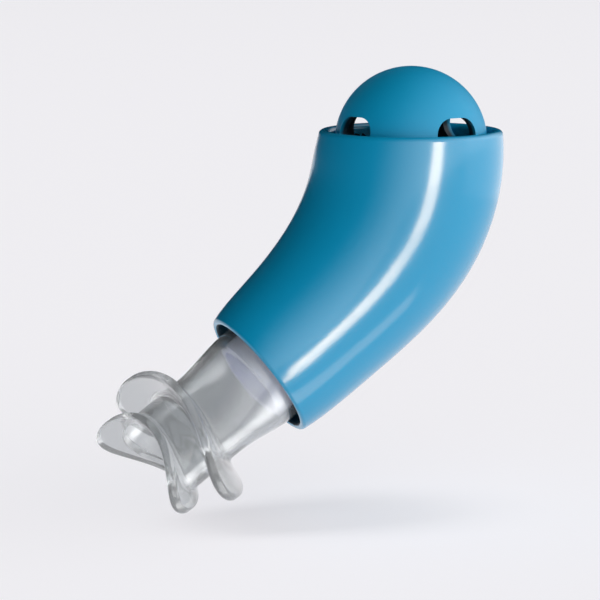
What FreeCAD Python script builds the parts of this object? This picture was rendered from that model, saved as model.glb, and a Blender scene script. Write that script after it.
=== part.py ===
import FreeCAD, Part
import math
import os
import Sketcher
from FreeCAD import Placement, Rotation, Vector

# Oscillating positive expiratory pressure device.
# Breath goes in at the flanged mouthpiece, through the swivel connector and the curved air duct,
# up through the ball cone, past the bouncing steel ball and out at the windows of the dome cover.
# The upper pieces are drawn with the upper rim's centre at zero and the dome's axis along Z.
# The lower pieces are drawn with the lower rim's centre at zero and Z towards the mouth.
# Their placements then put the origin on the casing's centreline, where the hand closes round it.
# Lengths are in millimetres and angles in degrees.

SIZES = [
    # Casing: six round sections on a centreline of five equal steps, each turning a little
    ("step_length", 15.0),
    ("turn_1", 16.0),
    ("turn_2", 19.0),
    ("turn_3", 10.5),
    ("turn_4", 4.0),
    ("turn_5", 1.5),
    ("cover_room", 0.95),
    ("tube_room", 1.9),
    ("swell_1", 1.94),
    ("swell_2", 1.93),
    ("swell_3", 1.12),
    ("swell_4", 0.71),
    ("upper_wall", 2.8),
    ("lower_wall", 2.0),
    ("lip_share", 0.42),
    ("shelf_thickness", 2.2),
    # Steel ball and its cone
    ("ball_radius", 9.525),
    ("ball_depth", 3.5),
    ("ball_clearance", 0.1),
    ("cone_half_angle", 30.0),
    ("cone_throat_radius", 4.5),
    ("cone_mouth_radius", 13.8),
    ("cone_wall", 1.6),
    ("flange_thickness", 1.8),
    ("flange_inset", 0.2),
    ("cone_collar_height", 2.8),
    ("cone_collar_wall", 1.5),
    ("gasket_thickness", 0.8),
    ("gasket_width", 2.4),
    # Dome cover
    ("dome_radius", 19.0),
    ("dome_wall", 2.2),
    ("dome_centre_depth", 3.2),
    ("cover_clearance", 0.25),
    ("seat_gap", 0.1),
    ("window_count", 4),
    ("window_width", 12.6),
    ("window_height", 9.0),
    ("window_top", 4.0),
    ("window_turn", 16.5),
    # Air duct
    ("duct_wall", 1.4),
    ("duct_top_room", 0.2),
    ("duct_middle_radius", 13.6),
    ("duct_low_radius", 12.9),
    ("duct_flange_thickness", 1.6),
    ("socket_radius", 12.2),
    ("socket_length", 8.0),
    ("shelf_clearance", 0.1),
    # Lower axis, which the connector and the mouthpiece share
    ("mouth_angle", 54.5),
    ("mouth_turn", -18.0),
    # Swivel connector
    ("sleeve_radius", 11.0),
    ("sleeve_wall", 1.7),
    ("sleeve_reach", 2.3),
    ("sleeve_length", 13.0),
    ("collar_radius", 12.6),
    ("collar_thickness", 1.5),
    ("collar_gap", 0.3),
    ("spigot_radius", 10.4),
    ("spigot_wall", 2.0),
    ("swivel_clearance", 0.08),
    ("bead_height", 0.5),
    ("bead_length", 1.0),
    ("bead_gap", 0.3),
    ("seal_thickness", 1.0),
    ("seal_groove_length", 1.4),
    # Mouthpiece
    ("tube_radius", 13.4),
    ("tube_clearance", 0.2),
    ("tube_gap", 0.3),
    ("neck_half_width", 14.5),
    ("neck_half_height", 9.4),
    ("neck_wall", 2.1),
    ("neck_start", 17.0),
    ("front_flange_place", 29.5),
    ("front_flange_length", 40.2),
    ("front_flange_height", 21.0),
    ("front_flange_radius", 26.0),
    ("lip_flange_place", 19.4),
    ("lip_flange_length", 50.6),
    ("lip_flange_height", 31.0),
    ("lip_flange_radius", 39.4),
    ("flare_length", 5.0),
    ("mouth_flare", 1.1),
    ("flange_plate", 2.4),
    ("flange_round_share", 0.36),
    ("flange_root_round", 1.5),
    ("mouth_round", 0.7),
]

doc = FreeCAD.newDocument("PressureDevice")
sheet = doc.addObject("Spreadsheet::Sheet", "Sizes")
for row, (alias, value) in enumerate(SIZES, start=1):
    sheet.set(f"A{row}", alias)
    sheet.set(f"B{row}", str(value))
    sheet.setAlias(f"B{row}", alias)
doc.recompute()


def size(alias):
    """One driving size, read from the sheet."""
    return float(sheet.get(alias))


def cell(alias):
    """The name by which an expression reads one driving size."""
    return f"Sizes.{alias}"


PLANE_TOLERANCE = 0.01
LOOP_TOLERANCE = 0.02
EASE_COUNT = 5
EVEN_COUNT = 4

# Centreline: the sum of the turns so far is the section's own angle from straight down
STEP_COUNT = 5
GRIP_COUNT = 2
section_angle = ["0"]
section_x = ["0"]
section_z = ["0"]
for number in range(1, STEP_COUNT + 1):
    turn = cell(f"turn_{number}")
    middle = f"({section_angle[-1]} + {turn} / 2)"
    section_x.append(f"{section_x[-1]} - {cell('step_length')} * sin({middle})")
    section_z.append(f"{section_z[-1]} - {cell('step_length')} * cos({middle})")
    section_angle.append(f"{section_angle[-1]} + {turn}")
rim_x = section_x[STEP_COUNT]
rim_z = section_z[STEP_COUNT]
grip_x = section_x[GRIP_COUNT]
grip_z = section_z[GRIP_COUNT]
mouth_angle = cell("mouth_angle")


def along_mouth_axis(distance):
    """A point on the lower axis, at a distance outwards from the lower rim."""
    return (f"{rim_x} - ({distance}) * sin({mouth_angle})", f"{rim_z} - ({distance}) * cos({mouth_angle})")


def casing_radius(number):
    """From a rim round the cover to one round the mouthpiece's tube, with a swell between them."""
    first = f"({cell('dome_radius')} + {cell('cover_room')} + {cell('upper_wall')})"
    last = f"({cell('tube_radius')} + {cell('tube_room')} + {cell('lower_wall')})"
    swell = cell(f"swell_{number}") if 0 < number < STEP_COUNT else "0"
    return f"({first} + ({last} - {first}) * {number} / {STEP_COUNT} + {swell})"


def casing_wall(number):
    """The wall thins evenly from the upper rim to the lower one."""
    return f"({cell('upper_wall')} + ({cell('lower_wall')} - {cell('upper_wall')}) * {number} / {STEP_COUNT})"


# Heights on the dome's axis, from the upper rim's plane
dome_centre_z = f"(0 - {cell('dome_centre_depth')})"
ball_z = f"(0 - {cell('ball_depth')} - {cell('ball_radius')})"
cone_apex_z = f"({ball_z} - ({cell('ball_radius')} + {cell('ball_clearance')}) / sin({cell('cone_half_angle')}))"
cone_slope = f"tan({cell('cone_half_angle')})"
cone_top_z = f"({cone_apex_z} + {cell('cone_mouth_radius')} / {cone_slope})"
cone_throat_z = f"({cone_apex_z} + {cell('cone_throat_radius')} / {cone_slope})"
flange_low_z = f"({cone_top_z} - {cell('flange_thickness')})"
gasket_low_z = f"({flange_low_z} - {cell('gasket_thickness')})"
shelf_top_z = f"({gasket_low_z} - {cell('duct_flange_thickness')})"
shelf_low_z = f"({shelf_top_z} - {cell('shelf_thickness')})"
cone_collar_radius = f"({cell('dome_radius')} - {cell('dome_wall')} - {cell('cover_clearance')})"
flange_radius = f"({cell('dome_radius')} - {cell('flange_inset')})"
cone_wall_across = f"({cell('cone_wall')} / cos({cell('cone_half_angle')}))"
cone_back_radius = f"(({flange_low_z} - {cone_apex_z}) * {cone_slope} + {cone_wall_across})"
duct_top_radius = f"({cone_back_radius} + {cell('duct_top_room')} + {cell('duct_wall')})"

# Places on the lower axis, outwards from the lower rim
collar_front = f"({cell('sleeve_reach')} - {cell('sleeve_length')})"
collar_back = f"({collar_front} - {cell('collar_thickness')})"
socket_front = f"({collar_back} - {cell('collar_gap')})"
socket_back = f"({socket_front} - {cell('socket_length')})"
bead_front = f"({socket_back} - {cell('bead_gap')})"
spigot_back = f"({bead_front} - {cell('bead_length')})"
seal_place = f"(({socket_front} + {socket_back}) / 2)"
tube_back = f"({collar_front} + {cell('tube_gap')})"
socket_bore = f"({cell('spigot_radius')} + {cell('swivel_clearance')})"
tube_bore = f"({cell('sleeve_radius')} + {cell('tube_clearance')})"
lower_shelf_front = f"({socket_front} - {cell('collar_thickness')})"


def origin_plane(body, role):
    return [feature for feature in body.Origin.OriginFeatures if feature.Role == role][0]


def new_body(name):
    body = doc.addObject("PartDesign::Body", name)
    body.Label = name
    return body


def new_sketch(body, name, role):
    sketch = body.newObject("Sketcher::SketchObject", name)
    sketch.AttachmentSupport = [(origin_plane(body, role), "")]
    sketch.MapMode = "FlatFace"
    return sketch


def move_section(sketch, x, z, angle):
    """Sets a level section at a place in the bend's plane, turned about Y."""
    sketch.AttachmentOffset = Placement(Vector(0, 0, 0), Rotation(Vector(0, 1, 0), 1))
    sketch.setExpression(".AttachmentOffset.Base.x", x)
    sketch.setExpression(".AttachmentOffset.Base.z", z)
    sketch.setExpression(".AttachmentOffset.Rotation.Angle", f"({angle}) * 1 deg")


def add_circle(sketch, radius):
    """A circle round the sketch's origin."""
    index = sketch.addGeometry(Part.Circle(Vector(0, 0, 0), Vector(0, 0, 1), 10), False)
    sketch.addConstraint(Sketcher.Constraint("Coincident", index, 3, -1, 1))
    constraint = sketch.addConstraint(Sketcher.Constraint("Radius", index, 10))
    sketch.setExpression(f"Constraints[{constraint}]", radius)
    return index


def place_across(sketch, index, end, x):
    """Holds one end or centre of a line or arc at its distance across from the sketch's origin."""
    constraint = sketch.addConstraint(Sketcher.Constraint("DistanceX", -1, 1, index, end, 1.0))
    sketch.setExpression(f"Constraints[{constraint}]", x)


def place_height(sketch, index, end, y):
    """Holds one end or centre of a line or arc at its height."""
    constraint = sketch.addConstraint(Sketcher.Constraint("DistanceY", -1, 1, index, end, 1.0))
    sketch.setExpression(f"Constraints[{constraint}]", y)


def place_point(sketch, index, end, x, y):
    """Holds one end or centre of a line or arc both ways."""
    place_across(sketch, index, end, x)
    place_height(sketch, index, end, y)


def add_outline(sketch, corners):
    """A closed outline of straight lines through corners that are given as expressions."""
    count = len(corners)
    spread = [Vector(10 + 5 * math.cos(k), 5 * math.sin(k), 0) for k in range(count)]
    for k in range(count):
        sketch.addGeometry(Part.LineSegment(spread[k], spread[(k + 1) % count]), False)
    for k in range(count):
        sketch.addConstraint(Sketcher.Constraint("Coincident", k, 2, (k + 1) % count, 1))
    for k, (x, y) in enumerate(corners):
        place_point(sketch, k, 1, x, y)


def revolve(body, name, corners):
    """A turned piece from its outline of radius and height."""
    sketch = new_sketch(body, f"{name}_outline", "XZ_Plane")
    add_outline(sketch, corners)
    feature = body.newObject("PartDesign::Revolution", name)
    feature.Profile = sketch
    feature.ReferenceAxis = (sketch, ["V_Axis"])
    feature.Angle = 360
    return feature


def loft(body, kind, name, sections):
    """A loft through round sections of x, z, angle and radius."""
    sketches = []
    for k, (x, z, angle, radius) in enumerate(sections):
        sketch = new_sketch(body, f"{name}_section_{k}", "XY_Plane")
        move_section(sketch, x, z, angle)
        add_circle(sketch, radius)
        sketches.append(sketch)
    feature = body.newObject(kind, name)
    feature.Profile = sketches[0]
    feature.Sections = sketches[1:]
    return feature


def seat_upper(piece):
    """Moves a piece of the upper axis so that the grip's centre is the origin."""
    piece.setExpression(".Placement.Base.x", f"0 - ({grip_x})")
    piece.setExpression(".Placement.Base.z", f"0 - ({grip_z})")


def seat_lower(piece):
    """Stands a piece of the lower axis in the lower rim, with its width across the bend."""
    place = f"create(<<vector>>; ({rim_x}) - ({grip_x}); 0; ({rim_z}) - ({grip_z}))"
    lean = f"create(<<rotation>>; create(<<vector>>; 0; 1; 0); 180 + {mouth_angle})"
    turn = f"create(<<rotation>>; create(<<vector>>; 0; 0; 1); {cell('mouth_turn')} - 90)"
    piece.setExpression("Placement", f"create(<<placement>>; {place}; {lean} * {turn})")


def cut_slab(body, name, height, thickness, bore, angle="0", x="0"):
    """Takes a flat ring out of a cavity, and so leaves a shelf with a round bore in the casing."""
    sketch = new_sketch(body, f"{name}_outline", "XY_Plane")
    move_section(sketch, x, height, angle)
    add_circle(sketch, bore)
    add_circle(sketch, f"{casing_radius(1)} * 2")
    pocket = body.newObject("PartDesign::Pocket", name)
    pocket.Profile = sketch
    pocket.setExpression("Length", thickness)
    pocket.Reversed = False
    return pocket


def make_casing():
    """The curved shell, with rounded lips and two inner shelves that hold the duct."""
    body = new_body("outer_casing")
    angles = section_angle[:STEP_COUNT] + [mouth_angle]
    stations = list(zip(section_x, section_z, angles))
    outside = [(x, z, angle, casing_radius(k)) for k, (x, z, angle) in enumerate(stations)]
    loft(body, "PartDesign::AdditiveLoft", "casing_outside", outside)

    cavity = new_body("casing_cavity")
    inside = [(x, z, angle, f"{casing_radius(k)} - {casing_wall(k)}") for k, (x, z, angle) in enumerate(stations)]
    loft(cavity, "PartDesign::AdditiveLoft", "casing_inside", inside)
    upper_bore = f"{duct_top_radius} + {cell('shelf_clearance')}"
    cut_slab(cavity, "upper_shelf", shelf_top_z, cell("shelf_thickness"), upper_bore)
    lower_bore = f"{cell('socket_radius')} + {cell('shelf_clearance')}"
    shelf_back = f"{lower_shelf_front} - {cell('shelf_thickness')}"
    x, z = along_mouth_axis(shelf_back)
    cut_slab(cavity, "lower_shelf", z, cell("shelf_thickness"), lower_bore, mouth_angle, x)
    doc.recompute()
    hollow = body.newObject("PartDesign::Boolean", "casing_hollow")
    hollow.Type = "Cut"
    hollow.setObjects([cavity])
    doc.recompute()
    return body


def edges_in_plane(shape, point, normal):
    """Names of the edges that lie in a plane."""
    names = []
    for number, edge in enumerate(shape.Edges, start=1):
        first, last = edge.ParameterRange
        spots = [edge.valueAt(first + (last - first) * share) for share in (0, 0.3, 0.6, 1)]
        if all(abs((spot - point).dot(normal)) < PLANE_TOLERANCE for spot in spots):
            names.append(f"Edge{number}")
    return names


def round_edges(body, name, edges, radius):
    """Rounds named edges of a body's last feature to a radius given as an expression."""
    base = body.Tip
    feature = body.newObject("PartDesign::Fillet", name)
    feature.Base = (base, edges)
    feature.setExpression("Radius", radius)
    return feature


def round_lips(body):
    """Rounds the inner and outer edges of both open ends of the casing."""
    lean = math.radians(size("mouth_angle"))
    low_sketch = doc.getObject(f"casing_outside_section_{STEP_COUNT}")
    ends = (
        ("upper_lip", Vector(0, 0, 0), Vector(0, 0, 1), "upper_wall"),
        ("lower_lip", low_sketch.Placement.Base, Vector(math.sin(lean), 0, math.cos(lean)), "lower_wall"),
    )
    for name, point, normal, wall in ends:
        edges = edges_in_plane(body.Shape, point, normal)
        round_edges(body, name, edges, f"{cell(wall)} * {cell('lip_share')}")
        doc.recompute()


def make_dome():
    """The domed cover: half a sphere on a short skirt, with arched windows all round."""
    body = new_body("dome_cover")
    sketch = new_sketch(body, "dome_outline", "XZ_Plane")
    outside = size("dome_radius")
    inside = outside - size("dome_wall")
    centre = Vector(0, -size("dome_centre_depth"), 0)
    skirt = Vector(0, -outside, 0)
    outer, inner = [
        sketch.addGeometry(Part.ArcOfCircle(Part.Circle(centre, Vector(0, 0, 1), radius), 0, math.pi / 2))
        for radius in (outside, inside)
    ]
    lines = [
        (centre + Vector(0, outside, 0), centre + Vector(0, inside, 0)),
        (centre + Vector(outside, 0, 0), skirt + Vector(outside, 0, 0)),
        (skirt + Vector(outside, 0, 0), skirt + Vector(inside, 0, 0)),
        (skirt + Vector(inside, 0, 0), centre + Vector(inside, 0, 0)),
    ]
    top, side, foot, bore = [sketch.addGeometry(Part.LineSegment(start, end)) for start, end in lines]
    joins = ((outer, 2, top, 1), (top, 2, inner, 2), (outer, 1, side, 1), (side, 2, foot, 1),
             (foot, 2, bore, 1), (bore, 2, inner, 1))
    for join in joins:
        sketch.addConstraint(Sketcher.Constraint("Coincident", *join))
    sketch.addConstraint(Sketcher.Constraint("Coincident", outer, 3, inner, 3))
    sketch.addConstraint(Sketcher.Constraint("PointOnObject", outer, 3, -2))
    sketch.addConstraint(Sketcher.Constraint("Vertical", top))
    sketch.addConstraint(Sketcher.Constraint("PointOnObject", top, 1, -2))
    sketch.addConstraint(Sketcher.Constraint("Vertical", side))
    sketch.addConstraint(Sketcher.Constraint("Vertical", bore))
    sketch.addConstraint(Sketcher.Constraint("Horizontal", foot))
    place_height(sketch, outer, 3, dome_centre_z)
    place_point(sketch, outer, 1, cell("dome_radius"), dome_centre_z)
    place_point(sketch, inner, 1, f"{cell('dome_radius')} - {cell('dome_wall')}", dome_centre_z)
    place_height(sketch, foot, 2, f"{cone_top_z} + {cell('seat_gap')}")
    dome = body.newObject("PartDesign::Revolution", "dome_shell")
    dome.Profile = sketch
    dome.ReferenceAxis = (sketch, ["V_Axis"])
    dome.Angle = 360

    window = new_sketch(body, "window_outline", "XZ_Plane")
    add_slot(window, cell("window_width"), cell("window_height"), f"{cell('window_top')} - {cell('window_height')} / 2")
    window.AttachmentOffset = Placement(Vector(0, 0, 0), Rotation(Vector(0, 1, 0), 1))
    window.setExpression(".AttachmentOffset.Rotation.Angle", f"{cell('window_turn')} * 1 deg")
    doc.recompute()
    pocket = body.newObject("PartDesign::Pocket", "window")
    pocket.Profile = window
    pocket.setExpression("Length", f"{cell('dome_radius')} + {cell('dome_wall')}")
    doc.recompute()
    pattern = body.newObject("PartDesign::PolarPattern", "windows")
    pattern.Originals = [pocket]
    pattern.Axis = (sketch, ["V_Axis"])
    pattern.Angle = 360
    pattern.setExpression("Occurrences", cell("window_count"))
    body.Tip = pattern
    doc.recompute()
    seat_upper(body)
    return body


def add_slot(sketch, width, height, centre_height):
    """A level slot with round ends, centred on the sketch's upright axis."""
    half_turn = math.pi / 2
    right = sketch.addGeometry(Part.ArcOfCircle(Part.Circle(Vector(3, 0, 0), Vector(0, 0, 1), 4), -half_turn, half_turn))
    left = sketch.addGeometry(Part.ArcOfCircle(Part.Circle(Vector(-3, 0, 0), Vector(0, 0, 1), 4), half_turn, -half_turn))
    above = sketch.addGeometry(Part.LineSegment(Vector(3, 4, 0), Vector(-3, 4, 0)))
    below = sketch.addGeometry(Part.LineSegment(Vector(-3, -4, 0), Vector(3, -4, 0)))
    for join in ((right, 2, above, 1), (above, 2, left, 1), (left, 2, below, 1), (below, 2, right, 1)):
        sketch.addConstraint(Sketcher.Constraint("Tangent", *join))
    sketch.addConstraint(Sketcher.Constraint("Horizontal", above))
    place_point(sketch, right, 3, f"({width}) / 2 - ({height}) / 2", centre_height)
    place_across(sketch, left, 3, f"({height}) / 2 - ({width}) / 2")
    constraint = sketch.addConstraint(Sketcher.Constraint("Radius", right, 4))
    sketch.setExpression(f"Constraints[{constraint}]", f"({height}) / 2")


def make_ball():
    """The steel ball, resting in its cone."""
    ball = doc.addObject("Part::Sphere", "steel_ball")
    ball.Label = "steel_ball"
    ball.setExpression("Radius", cell("ball_radius"))
    ball.setExpression(".Placement.Base.x", f"0 - ({grip_x})")
    ball.setExpression(".Placement.Base.z", f"{ball_z} - ({grip_z})")
    return ball


def make_cone():
    """The funnel that the ball rests in, with a seat flange and a collar that carries the cover."""
    body = new_body("ball_cone")
    outer_low = f"{cell('cone_throat_radius')} + {cone_wall_across}"
    collar_top = f"{cone_top_z} + {cell('cone_collar_height')}"
    collar_inside = f"{cone_collar_radius} - {cell('cone_collar_wall')}"
    corners = [
        (cell("cone_throat_radius"), cone_throat_z),
        (cell("cone_mouth_radius"), cone_top_z),
        (collar_inside, cone_top_z),
        (collar_inside, collar_top),
        (cone_collar_radius, collar_top),
        (cone_collar_radius, cone_top_z),
        (flange_radius, cone_top_z),
        (flange_radius, flange_low_z),
        (cone_back_radius, flange_low_z),
        (outer_low, cone_throat_z),
    ]
    revolve(body, "cone_turned", corners)
    seat_upper(body)
    return body


def make_gasket():
    """The flat ring that seals the cone's flange on the duct's flange."""
    body = new_body("cone_gasket")
    inside = f"{flange_radius} - {cell('gasket_width')}"
    corners = [
        (inside, gasket_low_z),
        (flange_radius, gasket_low_z),
        (flange_radius, flange_low_z),
        (inside, flange_low_z),
    ]
    revolve(body, "gasket_ring", corners)
    seat_upper(body)
    return body


def make_duct():
    """The curved tube from the swivel connector up to the cone, hung by its flange on the upper shelf."""
    body = new_body("air_duct")
    low_x, low_z = along_mouth_axis(socket_back)
    wall = cell("duct_wall")
    path = [
        ("0", shelf_low_z, "0", duct_top_radius),
        (section_x[2], section_z[2], section_angle[2], cell("duct_middle_radius")),
        (low_x, low_z, mouth_angle, cell("duct_low_radius")),
    ]
    loft(body, "PartDesign::AdditiveLoft", "duct_outside", path)
    add_round(body, "duct_neck", "0", shelf_low_z, "0", duct_top_radius, f"{shelf_top_z} - {shelf_low_z}")
    add_round(body, "duct_flange", "0", shelf_top_z, "0", flange_radius, cell("duct_flange_thickness"))
    add_round(body, "duct_socket", low_x, low_z, mouth_angle, cell("socket_radius"), cell("socket_length"), True)
    inside = [(x, z, angle, f"{radius} - {wall}") for x, z, angle, radius in path]
    loft(body, "PartDesign::SubtractiveLoft", "duct_inside", inside)
    top_bore = f"{duct_top_radius} - {wall}"
    cut_round(body, "duct_mouth", "0", gasket_low_z, "0", top_bore, f"{gasket_low_z} - {shelf_low_z}")
    cut_round(body, "duct_bore", low_x, low_z, mouth_angle, socket_bore, cell("socket_length"))
    seat_upper(body)
    return body


def add_round(body, name, x, z, angle, radius, length, towards_mouth=False):
    """Adds a round length, upwards or towards the mouth."""
    sketch = new_sketch(body, f"{name}_outline", "XY_Plane")
    move_section(sketch, x, z, angle)
    add_circle(sketch, radius)
    pad = body.newObject("PartDesign::Pad", name)
    pad.Profile = sketch
    pad.setExpression("Length", length)
    pad.Reversed = towards_mouth
    return pad


def cut_round(body, name, x, z, angle, radius, length):
    """Cuts a round bore, downwards or towards the mouth."""
    sketch = new_sketch(body, f"{name}_outline", "XY_Plane")
    move_section(sketch, x, z, angle)
    add_circle(sketch, radius)
    pocket = body.newObject("PartDesign::Pocket", name)
    pocket.Profile = sketch
    pocket.setExpression("Length", length)
    return pocket


def make_connector():
    """The swivel connector: a sleeve for the mouthpiece, a collar, and a spigot that turns in the duct."""
    body = new_body("swivel_connector")
    sleeve_bore = f"{cell('sleeve_radius')} - {cell('sleeve_wall')}"
    spigot_bore = f"{cell('spigot_radius')} - {cell('spigot_wall')}"
    bead = f"{cell('spigot_radius')} + {cell('bead_height')}"
    groove = f"{cell('spigot_radius')} - {cell('seal_thickness')}"
    groove_front = f"{seal_place} + {cell('seal_groove_length')} / 2"
    groove_back = f"{seal_place} - {cell('seal_groove_length')} / 2"
    corners = [
        (sleeve_bore, cell("sleeve_reach")),
        (cell("sleeve_radius"), cell("sleeve_reach")),
        (cell("sleeve_radius"), collar_front),
        (cell("collar_radius"), collar_front),
        (cell("collar_radius"), collar_back),
        (cell("spigot_radius"), collar_back),
        (cell("spigot_radius"), groove_front),
        (groove, groove_front),
        (groove, groove_back),
        (cell("spigot_radius"), groove_back),
        (cell("spigot_radius"), bead_front),
        (bead, bead_front),
        (cell("spigot_radius"), spigot_back),
        (spigot_bore, spigot_back),
        (spigot_bore, collar_back),
        (sleeve_bore, collar_front),
    ]
    revolve(body, "connector_turned", corners)
    seat_lower(body)
    return body


def make_seal():
    """The ring seal in the connector's groove."""
    seal = doc.addObject("Part::Torus", "swivel_seal")
    seal.Label = "swivel_seal"
    seal.setExpression("Radius1", f"{cell('spigot_radius')} - {cell('seal_thickness')} / 2")
    seal.setExpression("Radius2", f"{cell('seal_thickness')} / 2")
    place = f"create(<<vector>>; ({{x}}) - ({grip_x}); 0; ({{z}}) - ({grip_z}))"
    x, z = along_mouth_axis(seal_place)
    lean = f"create(<<rotation>>; create(<<vector>>; 0; 1; 0); 180 + {mouth_angle})"
    seal.setExpression("Placement", f"create(<<placement>>; {place.format(x=x, z=z)}; {lean})")
    return seal


def ring_section(name, half_width, half_height, place):
    """An oval or round wire across the lower axis."""
    section = doc.addObject("Part::Ellipse", name)
    section.setExpression("MajorRadius", half_width)
    section.setExpression("MinorRadius", half_height)
    section.setExpression(".Placement.Base.z", place)
    return section


def part_loft(name, rings):
    """A solid loft through oval sections of half width, half height and place."""
    solid = doc.addObject("Part::Loft", name)
    sections = [ring_section(f"{name}_{k}", *ring) for k, ring in enumerate(rings)]
    solid.Sections = sections
    solid.Solid = True
    solid.Ruled = False
    return solid


def eased_rings(first, last):
    """Sections that ease from one oval to another, level with the axis at both ends."""
    rings = []
    for k in range(EASE_COUNT + 1):
        share = (1 - math.cos(math.pi * k / EASE_COUNT)) / 2
        width, height = [f"({a}) + (({b}) - ({a})) * {share:.4f}" for a, b in zip(first[:2], last[:2])]
        place = f"({first[2]}) + (({last[2]}) - ({first[2]})) * {k} / {EASE_COUNT}"
        rings.append((width, height, place))
    return rings


def even_rings(width, height, first, last):
    """Equal sections after the first place, up to the last."""
    places = [f"({first}) + (({last}) - ({first})) * {k} / {EVEN_COUNT}" for k in range(1, EVEN_COUNT + 1)]
    return [(width, height, place) for place in places]


def make_flange(name, place, length, height, radius):
    """A curved oval plate whose ends bend towards the mouth."""
    thickness = cell("flange_plate")
    outline = ring_section(f"{name}_outline", f"{length} / 2", f"{height} / 2", f"{place} - {thickness}")
    block = doc.addObject("Part::Extrusion", f"{name}_block")
    block.Base = outline
    block.DirMode = "Custom"
    block.Dir = Vector(0, 0, 1)
    block.Solid = True
    block.setExpression("LengthFwd", radius)
    rounds = []
    for side, half in (("back", f"+ {thickness} / 2"), ("front", f"- {thickness} / 2")):
        cylinder = doc.addObject("Part::Cylinder", f"{name}_{side}_curve")
        cylinder.Placement = Placement(Vector(0, 0, 0), Rotation(Vector(1, 0, 0), 90))
        cylinder.setExpression("Radius", f"{radius} {half}")
        cylinder.setExpression("Height", f"{height} * 2")
        cylinder.setExpression(".Placement.Base.y", height)
        cylinder.setExpression(".Placement.Base.z", f"{place} + {radius}")
        rounds.append(cylinder)
    bowl = doc.addObject("Part::Cut", f"{name}_bowl")
    bowl.Base, bowl.Tool = rounds
    plate = doc.addObject("Part::Common", f"{name}_plate")
    plate.Base = block
    plate.Tool = bowl
    doc.recompute()
    rounded = doc.addObject("Part::Fillet", name)
    rounded.Base = plate
    radius_value = size("flange_plate") * size("flange_round_share")
    shape = plate.Shape
    corners = [number for number, edge in enumerate(shape.Edges, start=1)
               if len(shape.ancestorsOfType(edge, Part.Face)) > 1]
    rounded.Edges = [(number, radius_value, radius_value) for number in corners]
    doc.recompute()
    return rounded


def round_loops(name, base, half_width, radius):
    """Rounds each edge that runs once round an oval of this half width on a flange's curved face."""
    loops = []
    for number, edge in enumerate(base.Shape.Edges, start=1):
        surfaces = sorted(face.Surface.TypeId for face in base.Shape.ancestorsOfType(edge, Part.Face))
        fits = abs(edge.BoundBox.XLength / 2 - half_width) < LOOP_TOLERANCE
        if fits and edge.isClosed() and surfaces == ["Part::GeomBSplineSurface", "Part::GeomCylinder"]:
            loops.append((number, radius, radius))
    rounded = doc.addObject("Part::Fillet", name)
    rounded.Base = base
    rounded.Edges = loops
    doc.recompute()
    return rounded


def make_mouthpiece():
    """The soft mouthpiece: a round tube that turns into an oval neck with two curved flanges."""
    tube = cell("tube_radius")
    width = cell("neck_half_width")
    height = cell("neck_half_height")
    front = f"{cell('front_flange_place')} + {cell('flange_plate')} / 2"
    neck = cell("neck_start")
    outside = part_loft("mouthpiece_outside", [
        (tube, tube, tube_back),
        (tube, tube, f"{tube_back} / 2"),
        *eased_rings((tube, tube, "0"), (width, height, neck)),
        *even_rings(width, height, neck, f"{front} + {cell('neck_wall')} * 2"),
    ])
    lip_flange = make_flange("lip_flange", cell("lip_flange_place"), cell("lip_flange_length"),
                             cell("lip_flange_height"), cell("lip_flange_radius"))
    front_flange = make_flange("front_flange", cell("front_flange_place"), cell("front_flange_length"),
                               cell("front_flange_height"), cell("front_flange_radius"))
    neck_end = doc.addObject("Part::Cut", "neck_end")
    neck_end.Base = outside
    neck_end.Tool = doc.getObject("front_flange_front_curve")
    joined = doc.addObject("Part::MultiFuse", "mouthpiece_joined")
    joined.Shapes = [neck_end, lip_flange, front_flange]
    doc.recompute()
    body = round_loops("mouthpiece_body", joined, size("neck_half_width"), size("flange_root_round"))
    wall = cell("neck_wall")
    shoulder = f"{cell('sleeve_reach')} + {cell('tube_gap')}"
    bore_width = f"{width} - {wall}"
    bore_height = f"{height} - {wall}"
    mouth_width = f"{bore_width} + {cell('mouth_flare')}"
    mouth_height = f"{bore_height} + {cell('mouth_flare')}"
    flare_start = f"{front} - {cell('flare_length')}"
    bore = part_loft("mouthpiece_bore", [
        *eased_rings((tube_bore, tube_bore, shoulder), (bore_width, bore_height, neck)),
        *even_rings(bore_width, bore_height, neck, flare_start),
        *eased_rings((bore_width, bore_height, flare_start), (mouth_width, mouth_height, front))[1:],
        *even_rings(mouth_width, mouth_height, front, f"{front} + {cell('neck_wall')} * 4"),
    ])
    socket = doc.addObject("Part::Cylinder", "mouthpiece_socket")
    socket.setExpression("Radius", tube_bore)
    socket.setExpression("Height", f"{shoulder} - {tube_back} + {cell('tube_gap')}")
    socket.setExpression(".Placement.Base.z", f"{tube_back} - {cell('tube_gap')}")
    hollow = doc.addObject("Part::MultiFuse", "mouthpiece_hollow")
    hollow.Shapes = [bore, socket]
    open_body = doc.addObject("Part::Cut", "mouthpiece_open")
    open_body.Base = body
    open_body.Tool = hollow
    doc.recompute()
    mouth_half_width = size("neck_half_width") - size("neck_wall") + size("mouth_flare")
    piece = round_loops("mouthpiece", open_body, mouth_half_width, size("mouth_round"))
    piece.Label = "mouthpiece"
    seat_lower(piece)
    return piece


casing = make_casing()
round_lips(casing)
seat_upper(casing)
pieces = [casing, make_dome(), make_ball(), make_cone(), make_gasket(), make_duct(),
          make_connector(), make_seal(), make_mouthpiece()]
doc.recompute()

for thing in doc.Objects:
    if "Invalid" in thing.State or "Error" in thing.State:
        raise RuntimeError(f"{thing.Name} did not build")
os.makedirs("parts", exist_ok=True)
for piece in pieces:
    shape = piece.Shape
    if shape.isNull() or not shape.isValid():
        raise RuntimeError(f"{piece.Label} has no valid shape")
    shape.exportStep(f"parts/{piece.Label}.step")
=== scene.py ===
import math

import bpy
from mathutils import Matrix, Vector


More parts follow.
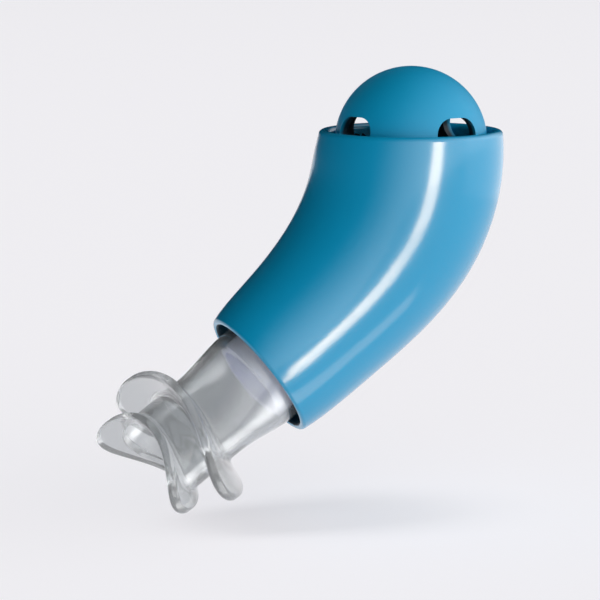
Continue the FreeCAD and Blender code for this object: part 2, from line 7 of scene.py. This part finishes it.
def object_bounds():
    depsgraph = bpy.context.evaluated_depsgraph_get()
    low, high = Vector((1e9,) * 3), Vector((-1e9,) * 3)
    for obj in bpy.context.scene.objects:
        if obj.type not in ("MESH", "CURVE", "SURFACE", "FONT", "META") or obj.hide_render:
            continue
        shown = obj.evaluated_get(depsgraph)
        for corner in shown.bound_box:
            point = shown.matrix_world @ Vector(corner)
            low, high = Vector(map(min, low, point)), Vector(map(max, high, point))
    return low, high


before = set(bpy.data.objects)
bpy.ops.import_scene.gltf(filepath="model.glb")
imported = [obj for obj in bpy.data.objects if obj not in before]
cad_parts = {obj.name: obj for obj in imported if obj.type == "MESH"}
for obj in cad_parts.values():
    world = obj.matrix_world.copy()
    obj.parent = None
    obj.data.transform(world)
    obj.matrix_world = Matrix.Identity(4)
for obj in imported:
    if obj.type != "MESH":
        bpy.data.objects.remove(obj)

# A hand-held breathing device: a glossy bent casing, a satin dome over a steel ball, and a clear
# silicone mouthpiece on a milky swivel connector. Blender gets metres. Where MM comes in, the
# numbers are in millimetres.

MM = 0.001
CAD_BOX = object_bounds()

# The photograph's view: what the camera is aimed at, from where, its lens and sensor in
# millimetres, and the range it sees
AIM = Vector((-21.1, 0.0, -12.9)) * MM
VIEW_AZIMUTH = math.radians(-21.4)
VIEW_ELEVATION = math.radians(8.14)
VIEW_DISTANCE = 0.8
LENS = 194.2
SENSOR = 36.0
NEAREST = 0.01
FARTHEST = 100.0

# The Mix node's sockets share their names, so they are taken by number
MIX_FACTOR = 0
NUMBER_A, NUMBER_B, NUMBER_OUT = 2, 3, 0
COLOR_A, COLOR_B, COLOR_OUT = 6, 7, 2


def link(obj):
    bpy.context.scene.collection.objects.link(obj)
    return obj


def direction(heading, height):
    """Unit vector towards a heading from +X and a height above the horizon, in degrees."""
    a, e = math.radians(heading), math.radians(height)
    return Vector((math.cos(a) * math.cos(e), math.sin(a) * math.cos(e), math.sin(e)))


# Materials

BLUE_CASING = (0.003, 0.288, 0.515)
BLUE_DOME = (0.003, 0.305, 0.54)
NOISE_DETAIL = 3.0
NOISE_LOW = 0.35
NOISE_HIGH = 0.65
GRAIN_DEPTH = 0.02 * MM

# The shells' insides get painted shade, nearly black, in place of the light that hardly reaches
# them. The dome's wall gets painted shade that deepens between two radii about its centre, so its
# windows' edges are darkened too
PAINTED_SHADE_COLOR = (0.001, 0.018, 0.032)
DOME_CENTRE = Vector((8.545, 0.0, 25.19)) * MM
DOME_SHADE_FULL = 17.8 * MM
DOME_SHADE_CLEAR = 18.9 * MM


def new_material(name, color, roughness, **sockets):
    """A principled material whose sockets hold plain values."""
    material = bpy.data.materials.new(name)
    material.use_nodes = True
    shader = material.node_tree.nodes["Principled BSDF"]
    shader.inputs["Base Color"].default_value = (*color, 1.0)
    shader.inputs["Roughness"].default_value = roughness
    for socket, value in sockets.items():
        shader.inputs[socket.replace("_", " ")].default_value = value
    return material


def noise(material, scale):
    """A noise pattern in the object's own space, given as features to the metre."""
    nodes, links = material.node_tree.nodes, material.node_tree.links
    place = nodes.new("ShaderNodeTexCoord")
    pattern = nodes.new("ShaderNodeTexNoise")
    pattern.inputs["Scale"].default_value = scale
    pattern.inputs["Detail"].default_value = NOISE_DETAIL
    links.new(place.outputs["Object"], pattern.inputs["Vector"])
    return pattern.outputs["Fac"]


def vary_roughness(material, scale, low, high):
    """Lets the roughness wander between two values, as handling marks do."""
    nodes, links = material.node_tree.nodes, material.node_tree.links
    spread = nodes.new("ShaderNodeMapRange")
    spread.inputs["From Min"].default_value = NOISE_LOW
    spread.inputs["From Max"].default_value = NOISE_HIGH
    spread.inputs["To Min"].default_value = low
    spread.inputs["To Max"].default_value = high
    links.new(noise(material, scale), spread.inputs["Value"])
    links.new(spread.outputs["Result"], nodes["Principled BSDF"].inputs["Roughness"])


def add_grain(material, scale, depth, strength=1.0):
    """A fine bump of a given depth."""
    nodes, links = material.node_tree.nodes, material.node_tree.links
    bump = nodes.new("ShaderNodeBump")
    bump.inputs["Distance"].default_value = depth
    bump.inputs["Strength"].default_value = strength
    links.new(noise(material, scale), bump.inputs["Height"])
    links.new(bump.outputs["Normal"], nodes["Principled BSDF"].inputs["Normal"])


def casing_plastic():
    """Blue plastic: a dull body whose gloss comes from a polished skin."""
    material = new_material("casing_plastic", BLUE_CASING, 0.42, IOR=1.4, Specular_IOR_Level=0.1,
                            Coat_Weight=1.0, Coat_Roughness=0.17, Coat_IOR=1.62)
    vary_roughness(material, scale=60, low=0.38, high=0.46)
    add_grain(material, scale=4000, depth=GRAIN_DEPTH, strength=0.35)
    return material


def painted_shade_inside():
    """Painted shade on the casing's inner faces, which get hardly any light."""
    material = new_material("painted_shade_inside", PAINTED_SHADE_COLOR, 0.5, IOR=1.4, Specular_IOR_Level=0.2)
    add_grain(material, scale=4000, depth=GRAIN_DEPTH, strength=0.35)
    return material


def dome_plastic():
    """Nearly the same blue with a finely grained, satin surface, and painted shade on the dome's
    inside.
    """
    material = new_material("dome_plastic", BLUE_DOME, 0.4, IOR=1.4)
    vary_roughness(material, scale=80, low=0.36, high=0.46)
    add_grain(material, scale=6000, depth=GRAIN_DEPTH, strength=0.5)
    nodes, links = material.node_tree.nodes, material.node_tree.links
    # Painted shade: the wall darkens to near black within a radius about the dome's centre
    place = nodes.new("ShaderNodeTexCoord")
    away = nodes.new("ShaderNodeVectorMath")
    away.operation = "DISTANCE"
    away.inputs[1].default_value = DOME_CENTRE
    links.new(place.outputs["Object"], away.inputs[0])
    depth = nodes.new("ShaderNodeMapRange")
    depth.inputs["From Min"].default_value = DOME_SHADE_FULL
    depth.inputs["From Max"].default_value = DOME_SHADE_CLEAR
    links.new(away.outputs["Value"], depth.inputs["Value"])
    shade = nodes.new("ShaderNodeMix")
    shade.data_type = "RGBA"
    shade.inputs[COLOR_A].default_value = (*PAINTED_SHADE_COLOR, 1.0)
    shade.inputs[COLOR_B].default_value = (*BLUE_DOME, 1.0)
    links.new(depth.outputs["Result"], shade.inputs[MIX_FACTOR])
    links.new(shade.outputs[COLOR_OUT], nodes["Principled BSDF"].inputs["Base Color"])
    return material


def polished_steel():
    material = new_material("polished_steel", (0.62, 0.63, 0.65), 0.08, Metallic=1.0)
    vary_roughness(material, scale=300, low=0.05, high=0.12)
    return material


def moulded_plastic(name, color, roughness):
    """Plain plastic of the inner pieces."""
    material = new_material(name, color, roughness, IOR=1.46)
    vary_roughness(material, scale=150, low=roughness - 0.05, high=roughness + 0.08)
    add_grain(material, scale=5000, depth=GRAIN_DEPTH, strength=0.5)
    return material


def milky_plastic():
    """The connector: lilac white plastic that lets some light through."""
    material = new_material("milky_plastic", (0.80, 0.83, 1.0), 0.28, IOR=1.5,
                            Subsurface_Weight=0.4, Subsurface_Radius=(0.004, 0.004, 0.005))
    vary_roughness(material, scale=200, low=0.24, high=0.34)
    return material


def seal_rubber():
    """Near-black rubber of the gasket and the ring seal."""
    material = new_material("seal_rubber", (0.02, 0.02, 0.022), 0.55)
    add_grain(material, scale=3000, depth=0.03 * MM)
    return material


def clear_silicone():
    """Clear, slightly grey silicone with a soft moulded surface."""
    material = new_material("clear_silicone", (0.60, 0.622, 0.632), 0.13, IOR=1.36,
                            Transmission_Weight=0.9, Coat_Weight=0.8, Coat_Roughness=0.12)
    vary_roughness(material, scale=120, low=0.10, high=0.16)
    return material


def set_material(obj, material):
    obj.data.materials.clear()
    obj.data.materials.append(material)


# Pieces

# The casing's centreline as x and z in the bend's plane, and its outer radius and wall at each
# section, in millimetres
SECTIONS = (
    (8.545, 28.393), (6.457, 13.539), (0.0, 0.0),
    (-9.692, -11.449), (-20.751, -21.583), (-32.283, -31.175),
)
RADII = (22.75, 23.6, 22.5, 20.6, 19.1, 17.3)
WALLS = (2.8, 2.64, 2.48, 2.32, 2.16, 2.0)

# A face gets painted shade when it lies deeper than this share of the wall and below this height,
# just under the upper rim
SHADE_WALL_SHARE = 0.72
SHADE_TOP_HEIGHT = 25.6


def casing_depth(point):
    """How far a point lies in from the casing's outside, as a share of its wall."""
    nearest = math.inf
    depth = 0.0
    for k in range(len(SECTIONS) - 1):
        (x, z), (next_x, next_z) = SECTIONS[k:k + 2]
        first = Vector((x, 0, z))
        step = Vector((next_x, 0, next_z)) - first
        share = max(0.0, min(1.0, (point - first).dot(step) / step.length_squared))
        away = (point - first - step * share).length
        if away < nearest:
            nearest = away
            radius = RADII[k] + (RADII[k + 1] - RADII[k]) * share
            wall = WALLS[k] + (WALLS[k + 1] - WALLS[k]) * share
            depth = (radius - away) / wall
    return depth


def paint_inside_shade(casing):
    """Paints shade onto the casing's inner faces as a second surface, except just below the upper
    rim.
    """
    casing.data.materials.append(painted_shade_inside())
    for face in casing.data.polygons:
        point = casing.matrix_world @ face.center / MM
        if point.z < SHADE_TOP_HEIGHT and casing_depth(point) > SHADE_WALL_SHARE:
            face.material_index = 1


def finish_nodes(nodes):
    """Gives each carried-over piece its own surface."""
    surfaces = {
        "outer_casing": casing_plastic(),
        "dome_cover": dome_plastic(),
        "steel_ball": polished_steel(),
        "ball_cone": moulded_plastic("cone_plastic", (0.70, 0.72, 0.74), 0.35),
        "air_duct": moulded_plastic("duct_plastic", (0.02, 0.022, 0.026), 0.4),
        "swivel_connector": milky_plastic(),
        "cone_gasket": seal_rubber(),
        "swivel_seal": seal_rubber(),
        "mouthpiece": clear_silicone(),
    }
    for name, material in surfaces.items():
        set_material(nodes[name], material)
    # Painted shade on the casing's inner faces
    paint_inside_shade(nodes["outer_casing"])
    # A clear piece would cast a solid shadow on the floor and on the connector inside it
    clear_piece = nodes["mouthpiece"]
    clear_piece.visible_shadow = False
    clear_piece.visible_diffuse = False


# Floor and surroundings

# The floor lies just under the mouthpiece's lowest tip. Half its brightness is a glow of its own,
# which keeps the shadow pale
FLOOR_GAP = 6.9 * MM
FLOOR_SIZE = 40.0
FLOOR_COLOR = (0.452, 0.447, 0.46, 1)
GLOW_COLOR = (1.0, 0.99, 1.03, 1)
FLOOR_GLOW = 0.49

# The sky is brightest towards one direction, and fades between two cosines of the angle from it
KEY_HEADING = -49.0
KEY_HEIGHT = -12.0
SKY_FROM = -0.36
SKY_TO = 1.0
SKY_DARK = 0.0
SKY_BRIGHT = 2.25

# An even sky is mixed in behind clear pieces, and the camera sees an even sky past the floor's edge
CLEAR_SKY = 0.85
CLEAR_SHARE = 0.3
SEEN_SKY = 0.85


def make_floor():
    z = CAD_BOX[0].z - FLOOR_GAP
    half = FLOOR_SIZE / 2
    mesh = bpy.data.meshes.new("floor")
    corners = [(-half, -half, z), (half, -half, z), (half, half, z), (-half, half, z)]
    mesh.from_pydata(corners, [], [(0, 1, 2, 3)])
    floor = link(bpy.data.objects.new("floor", mesh))
    material = bpy.data.materials.new("pale_floor")
    material.use_nodes = True
    nodes, links = material.node_tree.nodes, material.node_tree.links
    nodes.clear()
    output = nodes.new("ShaderNodeOutputMaterial")
    matt = nodes.new("ShaderNodeBsdfDiffuse")
    matt.inputs["Color"].default_value = FLOOR_COLOR
    glow = nodes.new("ShaderNodeEmission")
    glow.inputs["Color"].default_value = GLOW_COLOR
    glow.inputs["Strength"].default_value = FLOOR_GLOW
    both = nodes.new("ShaderNodeAddShader")
    links.new(matt.outputs[0], both.inputs[0])
    links.new(glow.outputs[0], both.inputs[1])
    links.new(both.outputs[0], output.inputs["Surface"])
    set_material(floor, material)
    return floor


def make_world():
    """Studio surroundings: bright to the front right, dark behind to the left."""
    world = bpy.data.worlds.new("studio")
    bpy.context.scene.world = world
    world.use_nodes = True
    nodes, links = world.node_tree.nodes, world.node_tree.links
    place = nodes.new("ShaderNodeTexCoord")
    facing = nodes.new("ShaderNodeVectorMath")
    facing.operation = "DOT_PRODUCT"
    facing.inputs[1].default_value = direction(KEY_HEADING, KEY_HEIGHT)
    links.new(place.outputs["Generated"], facing.inputs[0])
    sky = nodes.new("ShaderNodeMapRange")
    sky.interpolation_type = "SMOOTHSTEP"
    sky.inputs["From Min"].default_value = SKY_FROM
    sky.inputs["From Max"].default_value = SKY_TO
    sky.inputs["To Min"].default_value = SKY_DARK
    sky.inputs["To Max"].default_value = SKY_BRIGHT
    links.new(facing.outputs["Value"], sky.inputs["Value"])
    path = nodes.new("ShaderNodeLightPath")
    share = nodes.new("ShaderNodeMath")
    share.operation = "MULTIPLY"
    share.inputs[1].default_value = CLEAR_SHARE
    links.new(path.outputs["Is Transmission Ray"], share.inputs[0])
    level = nodes.new("ShaderNodeMix")
    level.inputs[NUMBER_B].default_value = CLEAR_SKY
    links.new(share.outputs[0], level.inputs[MIX_FACTOR])
    links.new(sky.outputs["Result"], level.inputs[NUMBER_A])
    seen = nodes.new("ShaderNodeMix")
    seen.inputs[NUMBER_B].default_value = SEEN_SKY
    links.new(path.outputs["Is Camera Ray"], seen.inputs[MIX_FACTOR])
    links.new(level.outputs[NUMBER_OUT], seen.inputs[NUMBER_A])
    background = nodes["Background"]
    background.inputs["Color"].default_value = (1.0, 1.0, 1.0, 1)
    links.new(seen.outputs[NUMBER_OUT], background.inputs["Strength"])


# Lamps

# The casing's white streak is the reflection of a chain of lamps. Each point has its x and z in the
# lamps' plane, in millimetres, the lamps' width there, and their radiance. Their warm white evens
# out the blue below the streak
STREAK_TARGET = Vector((0.0, -10.0, -5.0)) * MM
STREAK_PLANE = -135
STREAK_PATH = (
    ((32, 54), 0.029, 12.0),
    ((26.5, 14), 0.030, 18.0),
    ((19, -16), 0.030, 6.5),
    ((11, -31), 0.030, 12.5),
    ((1, -43), 0.031, 13.5),
    ((-14, -51), 0.031, 14.0),
    ((-32, -54), 0.032, 14.5),
)
STREAK_COLOR = (1.0, 0.74, 0.53)
WHITE = (1.0, 1.0, 1.0)

# Single long lamps: name, ends in millimetres, width, radiance. They draw a second, fainter streak
# and a sheen on the casing's right side. The third stands below the floor and draws the silicone's
# glint, which only the casing can block
STREAK_FAINT = ("streak_faint", ((58, -66, -62), (-30, -37, -62)), 0.018, 2.0)
SHEEN_RIGHT = ("sheen_right", ((350, -300, 10), (350, 400, 10)), 0.500, 0.35)
GLINT_LOW = ("glint_low", ((0, -160, -150), (120, -60, -150)), 0.120, 36.0)
GLINT_TARGET = Vector((-44.0, -8.0, -42.0)) * MM

# Soft boxes: name, place, target, width, height, radiance. The first makes the connector glow, the
# second fills all pieces from behind, and the two overhead lay the soft shadow
RING_FILL = ("ring_fill", (-0.30, -0.45, -0.05), (-0.04, 0, -0.04), 0.25, 0.25, 6.0)
BACK_FILL = ("back_fill", direction(85.0, 15.0) * 1.5, (0, 0, 0), 1.0, 1.0, 2.2)
OVERHEADS = (
    ("overhead_box", (0.4, 0.0, 8.0), (0, 0, 0), 2.0, 3.2, 5.2),
    ("overhead_right", (1.8, 0.0, 8.0), (0, 0, 0), 2.0, 3.2, 5.2),
)


def collect(name, objects):
    """A collection that a lamp is limited to."""
    collection = bpy.data.collections.new(name)
    for obj in objects:
        collection.objects.link(obj)
    return collection


def rectangle(name, place, width, height, radiance, receivers):
    """A rectangular lamp that the camera doesn't see and that lights only its receivers."""
    lamp = bpy.data.lights.new(name, "AREA")
    lamp.shape = "RECTANGLE"
    lamp.size = width
    lamp.size_y = height
    lamp.energy = radiance * width * height * math.pi
    obj = link(bpy.data.objects.new(name, lamp))
    obj.location = place
    obj.rotation_mode = "QUATERNION"
    obj.visible_camera = False
    obj.light_linking.receiver_collection = receivers
    return obj


def soft_box(name, place, target, width, height, radiance, receivers):
    """A lamp that is faced to a target."""
    box = rectangle(name, place, width, height, radiance, receivers)
    box.rotation_quaternion = (Vector(target) - Vector(place)).to_track_quat("-Z", "Y")
    return box


def streak_light(name, ends, width, radiance, color, receivers, target):
    """A long narrow lamp between two points that only shows as a reflection."""
    first, last = [Vector(end) * MM for end in ends]
    place = (first + last) / 2
    along = (last - first).normalized()
    across = along.cross(place - target).normalized()
    streak = rectangle(name, place, width, (last - first).length, radiance, receivers)
    streak.data.color = color
    turn = Matrix((across, along, across.cross(along))).transposed()
    streak.rotation_quaternion = turn.to_quaternion()
    streak.visible_diffuse = False
    streak.visible_transmission = False
    return streak


def make_lights(nodes, floor):
    """The lamps whose reflections draw the streaks and the glint, the fills, and the overheads."""
    casing = collect("streak_receivers", [nodes["outer_casing"]])
    for k in range(len(STREAK_PATH) - 1):
        (first, width, radiance), (last, next_width, next_radiance) = STREAK_PATH[k:k + 2]
        ends = [(x, STREAK_PLANE, z) for x, z in (first, last)]
        streak_light(f"streak_{k}", ends, (width + next_width) / 2, (radiance + next_radiance) / 2,
                     STREAK_COLOR, casing, STREAK_TARGET)
    streak_light(*STREAK_FAINT, STREAK_COLOR, casing, STREAK_TARGET)
    streak_light(*SHEEN_RIGHT, WHITE, casing, STREAK_TARGET)
    clear = collect("glint_receivers", [nodes["mouthpiece"]])
    glint = streak_light(*GLINT_LOW, WHITE, clear, GLINT_TARGET)
    glint.light_linking.blocker_collection = collect("glint_blockers", [nodes["outer_casing"]])
    soft_box(*RING_FILL, collect("ring_receivers", [nodes["swivel_connector"]]))
    behind = soft_box(*BACK_FILL, collect("fill_receivers", nodes.values()))
    behind.visible_glossy = False
    behind.visible_transmission = False
    shaded = collect("shadow_receivers", [floor])
    for overhead in OVERHEADS:
        soft_box(*overhead, shaded).visible_glossy = False


def make_camera():
    camera = link(bpy.data.objects.new("camera", bpy.data.cameras.new("camera")))
    towards = Vector((math.sin(VIEW_AZIMUTH) * math.cos(VIEW_ELEVATION),
                      -math.cos(VIEW_AZIMUTH) * math.cos(VIEW_ELEVATION),
                      math.sin(VIEW_ELEVATION)))
    camera.location = AIM + towards * VIEW_DISTANCE
    camera.rotation_mode = "QUATERNION"
    camera.rotation_quaternion = (-towards).to_track_quat("-Z", "Y")
    camera.data.lens = LENS
    camera.data.sensor_width = SENSOR
    camera.data.clip_start = NEAREST
    camera.data.clip_end = FARTHEST
    bpy.context.scene.camera = camera


bpy.context.scene.view_settings.view_transform = "Standard"
finish_nodes(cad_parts)
floor = make_floor()
make_world()
make_lights(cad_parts, floor)
make_camera()
